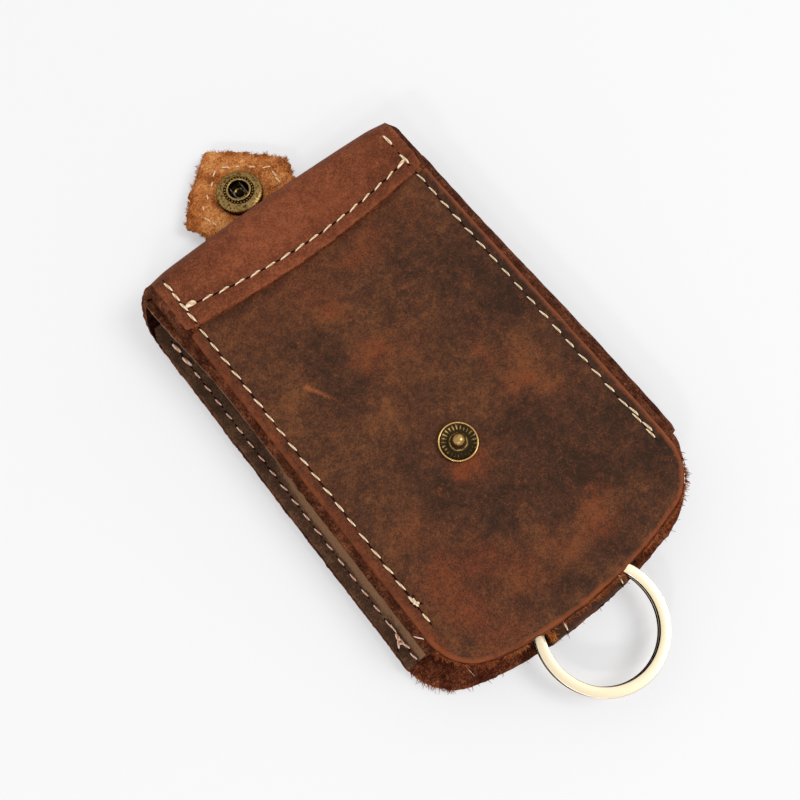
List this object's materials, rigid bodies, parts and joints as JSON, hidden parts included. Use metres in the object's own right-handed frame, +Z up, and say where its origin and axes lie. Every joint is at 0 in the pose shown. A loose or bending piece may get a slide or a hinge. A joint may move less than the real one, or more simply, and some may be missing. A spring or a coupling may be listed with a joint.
{
  "type": "key case",
  "caption": "Flat leather key case with sloping gussets: a strap slides through its folded top end to draw a split ring into the pouch, and ends in a snap tab.",
  "frame": {"origin": "middle of the whole part's footprint, on the surface that the back panel lies on", "axes": "+Z up out of the front panel, +Y along the case towards its folded top end, +X across it"},
  "size_m": [0.082, 0.1652, 0.0182],
  "materials": {
    "front_leather": "oiled pull-up leather, dark and mottled",
    "back_leather": "oiled pull-up leather, reddish brown",
    "gusset_leather": "smooth grain, grey brown",
    "strap_leather": "oiled leather, grain outside the loop",
    "tab_suede": "raw flesh side, fuzzy",
    "tan_thread": "waxed sewing thread",
    "pink_thread": "waxed sewing thread",
    "snap_brass": "antique brass plating",
    "ring_brass": "satin, dark edges",
    "spring_steel": "drawn wire"
  },
  "bodies": {
    "case": {"back_panel": "back_leather", "front_panel": "front_leather", "gusset_left": "gusset_leather", "gusset_right": "gusset_leather", "snap_stud": "snap_brass", "stud_post": "snap_brass", "seam_front_left": "tan_thread", "seam_front_right": "tan_thread", "seam_lap": "tan_thread", "seam_back_left": "pink_thread", "seam_back_right": "pink_thread"},
    "strap": {"pull_strap": "strap_leather", "strap_edge_seam": "tan_thread", "loop_tack": "tan_thread"},
    "tab": {"strap_tab": "tab_suede", "snap_socket": "snap_brass", "socket_spring": "spring_steel", "snap_cap": "snap_brass", "tab_edge_seam": "tan_thread"},
    "ring": {"key_ring": "ring_brass"}
  },
  "joints": [
    {"name": "strap_pull", "type": "slide", "parent": "case", "child": "strap", "axis": [0, 1, 0], "range_m": [0, 0.07]},
    {"name": "tab_lift", "type": "hinge", "parent": "strap", "child": "tab", "pos_m": [-0.0025, 0.05947, 0.0039], "axis": [1, 0, 0], "range_deg": [0, 65]},
    {"name": "ring_turn", "type": "hinge", "parent": "strap", "child": "ring", "pos_m": [-0.0025, -0.06757, 0.00565], "axis": [0, 0, 1], "continuous": true}
  ]
}
